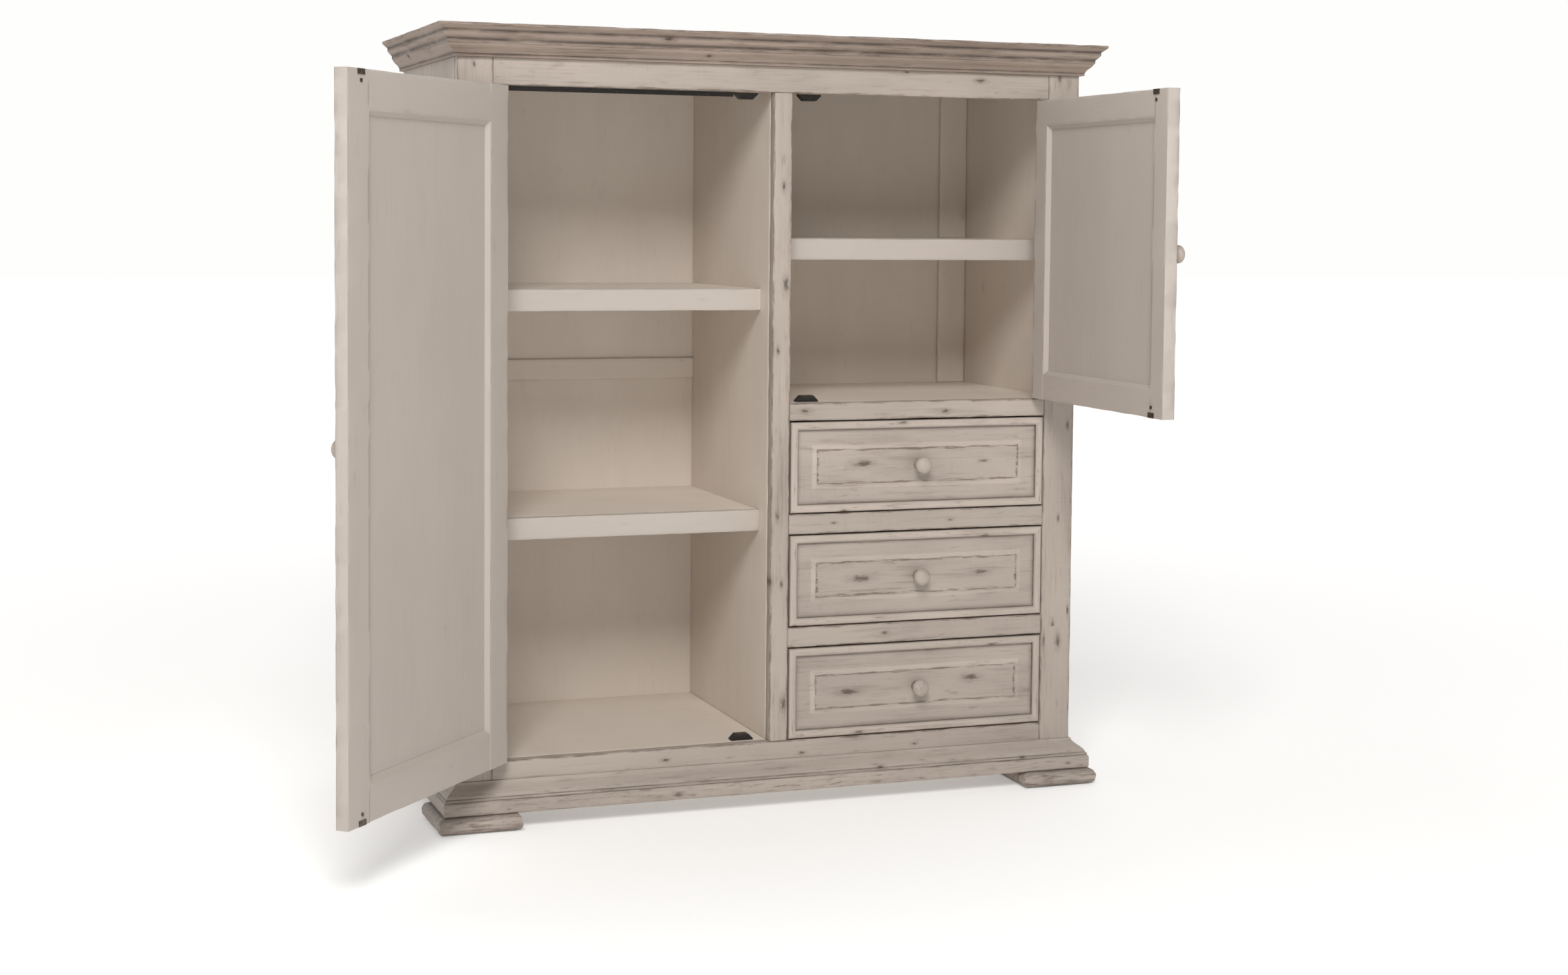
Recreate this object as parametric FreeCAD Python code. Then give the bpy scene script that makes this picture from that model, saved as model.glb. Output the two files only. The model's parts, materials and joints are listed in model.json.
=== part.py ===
import FreeCAD, Part
import math
import os

# A painted pine armoire with a tall cupboard on the left, and a short cupboard over
# three drawers on the right. Millimetres, +Z up, +X to the right, +Y to the back.
# The origin is on the floor, under the middle of the closed cabinet.
# Both doors stand open, as stored, and the drawers are shut.

# ---- driving dimensions -----------------------------------------------------------
WIDTH, DEPTH, HEIGHT = 1397.0, 577.85, 1543.05
CROWN_OUT = 44.0          # how far the crown stands out from the body
FOOT_HEIGHT, FOOT_SIDE, FOOT_ROUND = 33.0, 165.0, 14.0
PLINTH_TOP, OGEE_TOP, CROWN_BOTTOM = 61.0, 94.0, 1481.0
BOARD, BACK_BOARD, FRAME = 20.0, 8.0, 22.0       # thicknesses: carcass, back, face frame
BACK_RECESS = 4.0         # from the sides' rear edges to the back board
STILE, CENTRE_STILE, CENTRE_X = 69.5, 39.0, 1.5
FLOOR_TOP, DOOR_TOP_RAIL = 130.0, 1430.0         # bottom and top of the tall opening
RAIL_TOP, DRAWER_HIGH, DRAWER_RAIL = 812.0, 188.0, 41.0
SHELF_TOPS_LEFT, SHELF_TOP_RIGHT = (1039.0, 591.0), 1141.0
SHELF_SETBACK, LIP_HEIGHT, LIP_DEEP = 71.0, 43.0, 20.0
CLEAT = 20.0
BATTEN_DEEP, BATTEN_SPAN_Z, BATTEN_X = 10.0, (830.0, 875.0), (568.0, 634.0)

GAP = 2.5                 # round every door and drawer front
DOOR_THICK, GROOVE, PANEL_THICK = 25.0, 9.0, 12.0
DOOR_FRAME_LEFT, DOOR_FRAME_RIGHT = 78.0, 60.0
DOOR_OPEN_LEFT, DOOR_OPEN_RIGHT = 132.0, 89.5    # degrees from shut
PIN_PROUD, PIN_R, PIN_PLAY, BARREL_R = 6.0, 2.4, 0.05, 5.0
HINGE_LONG, LEAF_THICK, LEAF_DEEP = 66.0, 1.1, 20.0

FIELD_DEEP, PAD_INSET, PAD_BEVEL = 4.0, 50.5, 5.0
BEAD_WIDE, BEAD_PROUD, BEAD_INSET = 16.0, 4.0, 7.0
BOX_SIDE, BOX_HIGH, BOX_INSET, BOX_LONG = 14.0, 130.0, 4.0, 460.0
SLIDE_LIFT, SLIDE_PLAY, RUNNER_DROP, GUIDE_HIGH = 3.0, 0.4, 15.0, 30.0

CATCH_FROM_EDGE = 45.0    # from a door's free edge to its catch and strike
CATCH_WIDE, CATCH_NARROW, CATCH_HIGH, CATCH_DEEP = 46.0, 26.0, 13.0, 18.0

# ---- planes worked out from them --------------------------------------------------
BODY_X = WIDTH / 2 - CROWN_OUT
BACK_Y = DEPTH / 2
FACE_Y = CROWN_OUT - DEPTH / 2                  # the face frame's front
FRAME_BACK = FACE_Y + FRAME
INSIDE_BACK = BACK_Y - BACK_RECESS - BACK_BOARD
INSIDE_X = BODY_X - BOARD
TOP_UNDER = HEIGHT - BOARD
OPEN_X = BODY_X - STILE
CENTRE_LEFT, CENTRE_RIGHT = CENTRE_X - CENTRE_STILE / 2, CENTRE_X + CENTRE_STILE / 2
PARTITION_RIGHT = CENTRE_LEFT + BOARD
DRAWER_FLOORS = [FLOOR_TOP + n * (DRAWER_HIGH + DRAWER_RAIL) for n in range(3)]
DRAWER_RAIL_TOP = DRAWER_FLOORS[2] + DRAWER_HIGH
SHELF_FRONT = FACE_Y + SHELF_SETBACK
DOOR_BACK = FACE_Y + DOOR_THICK

os.makedirs("parts", exist_ok=True)


def save(node, *solids):
    """Writes one node. Several solids are like pieces that share the node."""
    shape = solids[0] if len(solids) == 1 else Part.makeCompound(list(solids))
    shape.exportStep("parts/" + node + ".step")


def block(x, y, z):
    """A board between two places on each axis, given in either order."""
    low = [min(side) for side in (x, y, z)]
    size = [abs(side[1] - side[0]) for side in (x, y, z)]
    return Part.makeBox(*size, FreeCAD.Vector(*low))


def flat_face(points):
    """A flat face inside a closed outline."""
    return Part.Face(Part.makePolygon([FreeCAD.Vector(*p) for p in points + points[:1]]))


def span(first, last):
    """A solid with flat sides from one outline to another, point to point."""
    faces = [flat_face(first), flat_face(last)]
    for n in range(len(first)):
        after = (n + 1) % len(first)
        faces.append(flat_face([first[n], first[after], last[after], last[n]]))
    solid = Part.Solid(Part.Shell(faces))
    if solid.Volume < 0:
        solid.reverse()
    return solid


def rounded(shape, radius, wanted):
    """Rounds the edges that the test picks."""
    return shape.makeFillet(radius, [e for e in shape.Edges if wanted(e)])


# ---- carcass ----------------------------------------------------------------------
def build_carcass():
    deep = (FRAME_BACK, INSIDE_BACK)
    for node, side in (("side_panel_left", -1), ("side_panel_right", 1)):
        save(node, block((side * BODY_X, side * INSIDE_X), (FRAME_BACK, BACK_Y),
                         (FOOT_HEIGHT, TOP_UNDER)))
    save("partition", block((CENTRE_LEFT, PARTITION_RIGHT), deep, (FLOOR_TOP, TOP_UNDER)))
    save("bottom_board", block((-INSIDE_X, INSIDE_X), deep, (FLOOR_TOP - BOARD, FLOOR_TOP)))
    save("top_board", block((-BODY_X, BODY_X), (FACE_Y, BACK_Y), (TOP_UNDER, HEIGHT)))
    save("back_board", block((-INSIDE_X, INSIDE_X), (INSIDE_BACK, INSIDE_BACK + BACK_BOARD),
                             (FOOT_HEIGHT, TOP_UNDER)))
    save("cupboard_floor", block((PARTITION_RIGHT, INSIDE_X), deep,
                                 (RAIL_TOP - BOARD, RAIL_TOP)))
    batten = (INSIDE_BACK - BATTEN_DEEP, INSIDE_BACK)
    save("back_batten_level", block((-INSIDE_X, CENTRE_LEFT), batten, BATTEN_SPAN_Z))
    save("back_batten_upright",
         block(BATTEN_X, batten, (SHELF_TOP_RIGHT, TOP_UNDER)),
         block(BATTEN_X, batten, (RAIL_TOP, SHELF_TOP_RIGHT - BOARD)))


def build_face_frame():
    deep = (FACE_Y, FRAME_BACK)
    save("stile_left", block((-BODY_X, -OPEN_X), deep, (FOOT_HEIGHT, TOP_UNDER)))
    save("stile_right", block((OPEN_X, BODY_X), deep, (FOOT_HEIGHT, TOP_UNDER)))
    save("stile_centre", block((CENTRE_LEFT, CENTRE_RIGHT), deep, (FLOOR_TOP, DOOR_TOP_RAIL)))
    save("top_rail", block((-OPEN_X, OPEN_X), deep, (DOOR_TOP_RAIL, TOP_UNDER)))
    save("bottom_rail", block((-OPEN_X, OPEN_X), deep, (FOOT_HEIGHT, FLOOR_TOP)))
    save("cupboard_rail", block((CENTRE_RIGHT, OPEN_X), deep, (DRAWER_RAIL_TOP, RAIL_TOP)))
    save("drawer_rails", *[block((CENTRE_RIGHT, OPEN_X), deep, (z - DRAWER_RAIL, z))
                           for z in DRAWER_FLOORS[1:]])


def build_shelves():
    """Boards with a deeper lip along the front, on cleats fixed to the sides."""
    bays = [("shelf_left_upper", -INSIDE_X, CENTRE_LEFT, SHELF_TOPS_LEFT[0]),
            ("shelf_left_lower", -INSIDE_X, CENTRE_LEFT, SHELF_TOPS_LEFT[1]),
            ("shelf_right", PARTITION_RIGHT, INSIDE_X, SHELF_TOP_RIGHT)]
    lips = []
    cleats = []
    lip_back = SHELF_FRONT + LIP_DEEP
    for node, left, right, top in bays:
        save(node, block((left, right), (lip_back, INSIDE_BACK), (top - BOARD, top)))
        lips.append(block((left, right), (SHELF_FRONT, lip_back), (top - LIP_HEIGHT, top)))
        under = (top - BOARD - CLEAT, top - BOARD)
        deep = (lip_back, INSIDE_BACK - BATTEN_DEEP)
        cleats.append(block((left, left + CLEAT), deep, under))
        cleats.append(block((right - CLEAT, right), deep, under))
    save("shelf_lips", *lips)
    save("shelf_cleats", *cleats)


# ---- mouldings and feet -----------------------------------------------------------
def ogee(low, high, out_low, out_high, steps=8):
    """Points of an S curve between two heights, as half a cosine wave."""
    points = []
    for n in range(steps + 1):
        t = n / steps
        wave = (1 - math.cos(math.pi * t)) / 2
        points.append((out_low + (out_high - out_low) * wave, low + (high - low) * t))
    return points


def quarter(centre_out, centre_z, radius, start, steps=5):
    """Points of a quarter circle in an outline, from a start angle in degrees."""
    turn = [math.radians(start + 90 * n / steps) for n in range(steps + 1)]
    return [(centre_out + radius * math.cos(a), centre_z + radius * math.sin(a)) for a in turn]


def around_body(profile):
    """A moulding with mitred front corners: front, left and right lengths."""
    front_left = [(-BODY_X - out, FACE_Y - out, z) for out, z in profile]
    front_right = [(BODY_X + out, FACE_Y - out, z) for out, z in profile]
    back_left = [(-BODY_X - out, BACK_Y, z) for out, z in profile]
    back_right = [(BODY_X + out, BACK_Y, z) for out, z in profile]
    return [span(front_left, front_right), span(front_left, back_left),
            span(front_right, back_right)]


def build_mouldings():
    crown = [(0, CROWN_BOTTOM), (8, CROWN_BOTTOM + 1), (8, CROWN_BOTTOM + 7)]
    crown += ogee(CROWN_BOTTOM + 7, CROWN_BOTTOM + 25, 9, 22)
    crown += [(24, CROWN_BOTTOM + 26), (24, CROWN_BOTTOM + 32), (33, CROWN_BOTTOM + 42)]
    crown += [(33, CROWN_BOTTOM + 48), (42, CROWN_BOTTOM + 56)]
    crown += [(CROWN_OUT, CROWN_BOTTOM + 58), (CROWN_OUT, HEIGHT), (0, HEIGHT)]
    crown_front, crown_left, crown_right = around_body(crown)
    save("crown_front", crown_front)
    save("crown_sides", crown_left, crown_right)

    ogee_out = 29.0
    base = [(0, OGEE_TOP), (0, PLINTH_TOP), (ogee_out, PLINTH_TOP), (ogee_out, PLINTH_TOP + 4)]
    base += ogee(PLINTH_TOP + 6, OGEE_TOP - 1, ogee_out - 2, 3)
    save("base_ogee", *around_body(base))

    plinth_out, ease = 32.0, 5.0
    plinth = [(0, PLINTH_TOP), (0, FOOT_HEIGHT)]
    plinth += quarter(plinth_out - ease, FOOT_HEIGHT + ease, ease, -90)
    plinth += quarter(plinth_out - ease, PLINTH_TOP - ease, ease, 0)
    save("base_plinth", *around_body(plinth))


def pad_foot(side, front):
    """A square pad with round edges, flush with the crown's outline."""
    x = side * WIDTH / 2
    y = -BACK_Y if front else BACK_Y
    inward = FOOT_SIDE if front else -FOOT_SIDE
    pad = block((x, x - side * FOOT_SIDE), (y, y + inward), (0, FOOT_HEIGHT))
    back_face = BACK_Y - 1

    def round_edge(edge):
        level = abs(edge.tangentAt(edge.FirstParameter).z) < 0.5
        return level and edge.CenterOfMass.y < back_face
    return rounded(pad, FOOT_ROUND, round_edge)


def build_feet():
    save("feet", *[pad_foot(side, front) for side in (-1, 1) for front in (True, False)])


# ---- doors ------------------------------------------------------------------------
def rectangle(x, z, grow, y):
    """A rectangle's corners, grown on every side, on a plane at y."""
    low_x, high_x = min(x) - grow, max(x) + grow
    low_z, high_z = min(z) - grow, max(z) + grow
    return [(low_x, y, low_z), (high_x, y, low_z), (high_x, y, high_z), (low_x, y, high_z)]


def bead_frame(x, z, y, deep):
    """Four mitred lengths of round-topped bead around a rectangle, proud of a plane at y.
    deep is how far their straight sides go behind that plane."""
    half = BEAD_WIDE / 2
    profile = []
    for n in range(9):
        turn = math.pi * n / 8
        profile.append((half - half * math.cos(turn), y - BEAD_PROUD * math.sin(turn)))
    if deep:
        profile = [(0, y + deep)] + profile + [(BEAD_WIDE, y + deep)]
    corners = [[rectangle(x, z, -inset, depth)[n] for inset, depth in profile] for n in range(4)]
    return [span(corners[n], corners[(n + 1) % 4]) for n in range(4)]


def round_knob(x, z, base_y):
    """A turned wooden knob: a foot, a narrow neck and a flattened ball, facing -Y."""
    points = [(0, 0), (11, 0), (11, 3), (7, 6), (6.5, 10), (12, 14), (16.5, 19), (17.5, 24),
              (16, 29), (11, 33), (5, 35), (0, 35.5)]
    wire = Part.makePolygon([FreeCAD.Vector(x + r, base_y - out, z) for r, out in points + [(0, 0)]])
    return Part.Face(wire).revolve(FreeCAD.Vector(x, base_y, z), FreeCAD.Vector(0, 1, 0), 360)


def barrel(x, y, z, radius):
    return Part.makeCylinder(radius, z[1] - z[0], FreeCAD.Vector(x, y, z[0]))


def hinge(edge_x, into, z):
    """One butt hinge in the gap: frame leaf, door leaf and pin. into is 1 if the door is
    towards +X from its stile."""
    pin_x, pin_y = edge_x + into * GAP / 2, FACE_Y - PIN_PROUD
    low, high = z - HINGE_LONG / 2, z + HINGE_LONG / 2
    third = HINGE_LONG / 3
    joint_gap = 0.4
    plate = (FACE_Y - 0.5, FACE_Y + LEAF_DEEP)
    bore = barrel(pin_x, pin_y, (low - 1, high + 1), PIN_R + PIN_PLAY)
    frame_x = (edge_x, edge_x + into * LEAF_THICK)
    door_x = (edge_x + into * (GAP - LEAF_THICK), edge_x + into * GAP)

    frame = block(frame_x, plate, (low, high))
    for knuckle in ((low, low + third), (high - third, high)):
        frame = frame.fuse(barrel(pin_x, pin_y, knuckle, BARREL_R))
        frame = frame.fuse(block(frame_x, (pin_y, plate[0]), knuckle))
    middle = (low + third + joint_gap, high - third - joint_gap)
    door = block(door_x, plate, (low, high))
    door = door.fuse(barrel(pin_x, pin_y, middle, BARREL_R))
    door = door.fuse(block(door_x, (pin_y, plate[0]), middle))

    head = Part.makeSphere(4.0, FreeCAD.Vector(pin_x, pin_y, high + 3.2))
    pin = barrel(pin_x, pin_y, (low, high + 3.2), PIN_R).fuse(head)
    return frame.cut(bore), door.cut(bore), pin


def build_door(side, frame_wide, bottom, hinge_heights, opened):
    """side is left or right. Built shut, then swung open about its hinge pins. Returns the
    hinge leaves and pins that stay on the stile."""
    into = 1 if side == "left" else -1
    edge_x = -OPEN_X if side == "left" else OPEN_X
    far_x = CENTRE_LEFT if side == "left" else CENTRE_RIGHT
    x = (edge_x + into * GAP, far_x - into * GAP)
    z = (bottom + GAP, DOOR_TOP_RAIL - GAP)
    window_x = (x[0] + into * frame_wide, x[1] - into * frame_wide)
    window_z = (z[0] + frame_wide, z[1] - frame_wide)
    deep = (FACE_Y, DOOR_BACK)
    groove_y = (FACE_Y + 5, FACE_Y + 5 + PANEL_THICK)
    bevel_y, bevel = groove_y[1] + 1, 8.0

    def grown(grow):
        return ((min(window_x) - grow, max(window_x) + grow),
                (min(window_z) - grow, max(window_z) + grow))
    groove_x, groove_z = grown(GROOVE)
    cut = block(window_x, (deep[0] - 1, deep[1] + 1), window_z)
    cut = cut.fuse(block(groove_x, groove_y, groove_z))
    cut = cut.fuse(span(rectangle(window_x, window_z, 0, bevel_y),
                        rectangle(window_x, window_z, bevel, deep[1])))
    stiles = [block(pair, deep, z).cut(cut) for pair in ((x[0], window_x[0]), (window_x[1], x[1]))]
    rails = [block(window_x, deep, pair).cut(cut)
             for pair in ((z[0], window_z[0]), (window_z[1], z[1]))]

    pad_from, pad_to = -34.0, -40.0
    panel = block(groove_x, groove_y, groove_z)
    panel = panel.fuse(span(rectangle(window_x, window_z, pad_from, groove_y[0]),
                            rectangle(window_x, window_z, pad_to, FACE_Y + 1)))
    bead_x = (x[0] + into * BEAD_INSET, x[1] - into * BEAD_INSET)
    bead = bead_frame(bead_x, (z[0] + BEAD_INSET, z[1] - BEAD_INSET), FACE_Y, 0)

    knob = round_knob(x[1] - into * (frame_wide + BEAD_INSET + BEAD_WIDE) / 2, (z[0] + z[1]) / 2, FACE_Y)
    strike_x = x[1] - into * CATCH_FROM_EDGE
    plate_y = (DOOR_BACK, DOOR_BACK + 1.5)
    strikes = []
    for edge_z, inward in ((z[0], 1), (z[1], -1)):
        plate = block((strike_x - 11, strike_x + 11), plate_y, (edge_z, edge_z + inward * 10))
        screw = Part.makeCylinder(3.5, 1.5, FreeCAD.Vector(strike_x, DOOR_BACK, edge_z + inward * 20),
                                  FreeCAD.Vector(0, 1, 0))
        strikes += [plate, screw]

    leaves, frame_leaves, pins = [], [], []
    for height in hinge_heights:
        frame_leaf, door_leaf, pin = hinge(edge_x, into, height)
        frame_leaves.append(frame_leaf)
        leaves.append(door_leaf)
        pins.append(pin)

    pin_at = FreeCAD.Vector(edge_x + into * GAP / 2, FACE_Y - PIN_PROUD, 0)
    pieces = {"frame": stiles + rails, "panel": [panel], "bead": bead, "knob": [knob],
              "strikes": strikes, "hinge_leaves": leaves}
    for name, solids in pieces.items():
        for solid in solids:
            solid.rotate(pin_at, FreeCAD.Vector(0, 0, 1), -into * opened)
        save("door_" + side + "_" + name, *solids)
    return frame_leaves, pins


# ---- drawers ----------------------------------------------------------------------
def build_drawer(name, floor):
    x = (CENTRE_RIGHT + GAP, OPEN_X - GAP)
    z = (floor + GAP, floor + DRAWER_HIGH - GAP)
    field = FACE_Y + FIELD_DEEP
    box_front = field + BOARD
    front = block(x, (field, box_front), z)
    pad = span(rectangle(x, z, -PAD_INSET, field),
               rectangle(x, z, -PAD_INSET - PAD_BEVEL, FACE_Y))
    save(name + "_front", front.fuse(pad))
    save(name + "_bead", *bead_frame(x, z, FACE_Y, FIELD_DEEP))
    save(name + "_knob", round_knob((x[0] + x[1]) / 2, (z[0] + z[1]) / 2, FACE_Y))

    outer = (x[0] + BOX_INSET, x[1] - BOX_INSET)
    inner = (outer[0] + BOX_SIDE, outer[1] - BOX_SIDE)
    low = floor + SLIDE_LIFT + SLIDE_PLAY
    high = low + BOX_HIGH
    box_back = box_front + BOX_LONG
    bottom_thick, bottom_up = 6.0, 9.0
    bottom = (low + bottom_up, low + bottom_up + bottom_thick)
    sides = [block(pair, (box_front, box_back), (low, high))
             for pair in ((outer[0], inner[0]), (inner[1], outer[1]))]
    back = block(inner, (box_back - BOX_SIDE, box_back), (bottom[1], high))
    save(name + "_box", *sides, back)
    save(name + "_bottom", block(inner, (box_front, box_back), bottom))


def build_runners():
    """Under each side of each drawer, a strip to slide on with a guide beside it. They start
    just behind the shut fronts."""
    box_left = CENTRE_RIGHT + GAP + BOX_INSET
    box_right = OPEN_X - GAP - BOX_INSET
    bearing = 22.0
    behind_fronts = FACE_Y + FIELD_DEEP + BOARD + 2.0
    deep = (behind_fronts, INSIDE_BACK - BATTEN_DEEP)
    runners = []
    for floor in DRAWER_FLOORS:
        top = floor + SLIDE_LIFT
        under = max(floor - RUNNER_DROP, FLOOR_TOP)
        for wall, side in ((PARTITION_RIGHT, box_left), (INSIDE_X, box_right)):
            inward = 1 if side > wall else -1
            strip = block((wall, side + inward * bearing), deep, (under, top))
            guide = block((wall, side - inward * SLIDE_PLAY), deep, (top, top + GUIDE_HIGH))
            runners.append(strip.fuse(guide).removeSplitter())
    save("drawer_runners", *runners)


# ---- catches and the stop strip ---------------------------------------------------
def catch(x, z, up):
    """A ball catch: a black cup that tapers away from the board that it is screwed to."""
    front = DOOR_BACK + 3.0
    wide, narrow = CATCH_WIDE / 2, CATCH_NARROW / 2
    shape = [(-wide, 0), (wide, 0), (wide, 3), (narrow, CATCH_HIGH), (-narrow, CATCH_HIGH), (-wide, 3)]
    ends = [[(x + a, y, z + up * b) for a, b in shape] for y in (front, front + CATCH_DEEP)]
    return span(*ends)


def build_catches():
    """One at the top and bottom of each opening, next to the centre stile."""
    left = CENTRE_LEFT - GAP - CATCH_FROM_EDGE
    right = CENTRE_RIGHT + GAP + CATCH_FROM_EDGE
    ledge_deep = 24.0
    ledge = (FRAME_BACK, FRAME_BACK + ledge_deep)
    save("catch_blocks", *[block((x - CATCH_WIDE / 2, x + CATCH_WIDE / 2), ledge,
                                 (DOOR_TOP_RAIL, DOOR_TOP_RAIL + BOARD)) for x in (left, right)])
    save("catches", catch(left, DOOR_TOP_RAIL, -1), catch(left, FLOOR_TOP, 1),
         catch(right, DOOR_TOP_RAIL, -1), catch(right, RAIL_TOP, 1))

    strip_x = (-OPEN_X + 4, left - CATCH_WIDE / 2 - 6)
    hang = block(strip_x, (DOOR_BACK + 3, DOOR_BACK + 6), (DOOR_TOP_RAIL - 9, DOOR_TOP_RAIL + 4))
    foot = block(strip_x, (FRAME_BACK, DOOR_BACK + 3), (DOOR_TOP_RAIL + 1, DOOR_TOP_RAIL + 4))
    save("door_stop_strip", hang.fuse(foot).removeSplitter())


build_carcass()
build_face_frame()
build_shelves()
build_mouldings()
build_feet()
left_hinges = (FLOOR_TOP + 130, (FLOOR_TOP + DOOR_TOP_RAIL) / 2, DOOR_TOP_RAIL - 130)
right_hinges = (RAIL_TOP + 90, DOOR_TOP_RAIL - 90)
left_leaves, left_pins = build_door("left", DOOR_FRAME_LEFT, FLOOR_TOP, left_hinges,
                                    DOOR_OPEN_LEFT)
right_leaves, right_pins = build_door("right", DOOR_FRAME_RIGHT, RAIL_TOP, right_hinges,
                                      DOOR_OPEN_RIGHT)
save("hinge_frame_leaves", *left_leaves, *right_leaves)
save("hinge_pins", *left_pins, *right_pins)
for drawer, drawer_floor in zip(("drawer_low", "drawer_middle", "drawer_top"), DRAWER_FLOORS):
    build_drawer(drawer, drawer_floor)
build_runners()
build_catches()
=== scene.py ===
import json
import math

import bpy
import numpy as np
from mathutils import Matrix, Vector


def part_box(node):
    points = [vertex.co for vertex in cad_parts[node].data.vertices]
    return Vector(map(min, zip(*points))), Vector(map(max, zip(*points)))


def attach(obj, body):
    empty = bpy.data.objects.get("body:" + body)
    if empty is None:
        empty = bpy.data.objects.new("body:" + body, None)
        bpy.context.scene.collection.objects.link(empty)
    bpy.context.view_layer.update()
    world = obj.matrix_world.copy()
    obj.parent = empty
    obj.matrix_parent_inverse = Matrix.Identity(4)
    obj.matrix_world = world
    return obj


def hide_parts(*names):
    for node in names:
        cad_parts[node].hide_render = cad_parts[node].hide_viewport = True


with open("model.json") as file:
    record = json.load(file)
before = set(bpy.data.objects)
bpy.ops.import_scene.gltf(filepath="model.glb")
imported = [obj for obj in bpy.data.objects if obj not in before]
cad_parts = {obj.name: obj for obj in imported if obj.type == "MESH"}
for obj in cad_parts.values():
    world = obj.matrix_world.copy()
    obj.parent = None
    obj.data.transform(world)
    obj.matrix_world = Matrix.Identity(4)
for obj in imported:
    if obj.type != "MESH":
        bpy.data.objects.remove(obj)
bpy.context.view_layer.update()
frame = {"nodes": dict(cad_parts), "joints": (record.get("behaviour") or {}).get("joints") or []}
joints = {joint["name"]: joint for joint in frame["joints"]}
random = np.random.default_rng(1943)


# ==== the room and the camera =========================
# A pale matt floor that glows further off, as a studio sweep does, soft light from the
# front and above, and a camera at chest height to the left of the middle.
def linear(code):
    """An sRGB hex colour as the linear RGBA that a shader takes."""
    shares = np.array([int(code[n:n + 2], 16) / 255 for n in (1, 3, 5)])
    shares = np.where(shares <= 0.04045, shares / 12.92, ((shares + 0.055) / 1.055) ** 2.4)
    return (*shares.tolist(), 1.0)


def node(tree, kind, settings=(), **inputs):
    """Adds a node, sets its properties, and fills each input, named in0, in1 or by its own
    name, with a value, a socket or another node's first output."""
    made = tree.nodes.new("ShaderNode" + kind)
    for setting, value in dict(settings).items():
        setattr(made, setting, value)
    for name, value in inputs.items():
        socket = made.inputs[int(name[2:]) if name[2:].isdigit() else name.replace("_", " ")]
        if isinstance(value, bpy.types.Node):
            tree.links.new(value.outputs[0], socket)
        elif isinstance(value, bpy.types.NodeSocket):
            tree.links.new(value, socket)
        else:
            socket.default_value = value
    return made


def new_material(name, **shading):
    """A node material with one Principled surface. Returns it, its tree and the shader."""
    material = bpy.data.materials.new(name)
    material.use_nodes = True
    tree = material.node_tree
    tree.nodes.clear()
    surface = node(tree, "BsdfPrincipled", **shading)
    node(tree, "OutputMaterial", Surface=surface.outputs[0])
    return material, tree, surface


floor_side = 40.0
floor_mesh = bpy.data.meshes.new("floor")
floor_mesh.from_pydata([(x * floor_side, y * floor_side, 0) for x, y in
                        ((-1, -1), (1, -1), (1, 1), (-1, 1))], [], [(0, 1, 2, 3)])
floor = bpy.data.objects.new("floor", floor_mesh)
bpy.context.scene.collection.objects.link(floor)

# Matt off-white paint. Its own light grows between 1.5 m and 6 m from the cabinet, so that
# it is white where it meets the backdrop.
floor_paint, floor_tree, floor_surface = new_material(
    "matt_studio_floor", Base_Color=linear("#eeedeb"), Roughness=0.9,
    Emission_Color=linear("#ffffff"))
from_middle = node(floor_tree, "TexCoord").outputs["Object"]
away = node(floor_tree, "VectorMath", {"operation": "LENGTH"}, in0=from_middle).outputs["Value"]
lit = node(floor_tree, "MapRange", Value=away, From_Min=1.5, From_Max=6.0, To_Min=0.28,
           To_Max=0.62)
floor_tree.links.new(lit.outputs[0], floor_surface.inputs["Emission Strength"])
floor_mesh.materials.append(floor_paint)

# The room: a white backdrop lights the cabinet from behind, and the room in front of it
# is dim. The backdrop looks white wherever the camera turns.
studio = bpy.data.worlds.new("studio")
studio.use_nodes = True
backdrop = studio.node_tree.nodes["Background"]
backdrop.inputs["Color"].default_value = linear("#fefefd")
direction = node(studio.node_tree, "TexCoord").outputs["Generated"]
towards_back = node(studio.node_tree, "SeparateXYZ", Vector=direction).outputs["Y"]
walls = node(studio.node_tree, "MapRange", Value=towards_back, From_Min=-0.1, From_Max=0.5,
             To_Min=0.19, To_Max=1.0)
seen = node(studio.node_tree, "LightPath").outputs["Is Camera Ray"]
strength = node(studio.node_tree, "Math", {"operation": "MAXIMUM"}, in0=walls, in1=seen)
studio.node_tree.links.new(strength.outputs[0], backdrop.inputs["Strength"])
bpy.context.scene.world = studio
bpy.context.scene.view_settings.view_transform = "Standard"


def soft_light(name, at, towards, size, watts):
    """A square bank of light at one place, turned to face another."""
    lamp = bpy.data.lights.new(name, "AREA")
    lamp.size = size
    lamp.energy = watts
    light = bpy.data.objects.new(name, lamp)
    bpy.context.scene.collection.objects.link(light)
    light.location = at
    light.rotation_euler = (Vector(at) - Vector(towards)).to_track_quat("Z", "Y").to_euler()


soft_light("high_bank", (-2.0, -5.5, 5.0), (0, 0, 0.75), 2.4, 360)
soft_light("front_bank", (-1.3, -5.6, 1.3), (0, 0, 0.75), 2.2, 14)

camera_at = (-1.6009, -4.6438, 1.1786)
yaw, pitch, roll = math.radians(20.08), math.radians(-3.44), math.radians(-0.51)
camera_data = bpy.data.cameras.new("camera")
camera_data.sensor_width = 36.0
camera_data.lens = 53.935
camera_data.shift_y = -0.0806
camera = bpy.data.objects.new("camera", camera_data)
camera.matrix_world = (Matrix.Translation(camera_at) @ Matrix.Rotation(-yaw, 4, "Z")
                       @ Matrix.Rotation(math.pi / 2 + pitch, 4, "X")
                       @ Matrix.Rotation(-roll, 4, "Z"))
bpy.context.scene.collection.objects.link(camera)
bpy.context.scene.camera = camera


# ==== feet ============================================
# Four square pine pads under the corners, with their edges rounded over, glued and
# screwed up into the plinth. Thin white wash, rubbed through on the round edges.
AXES = {"x": 0, "y": 1, "z": 2}


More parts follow.
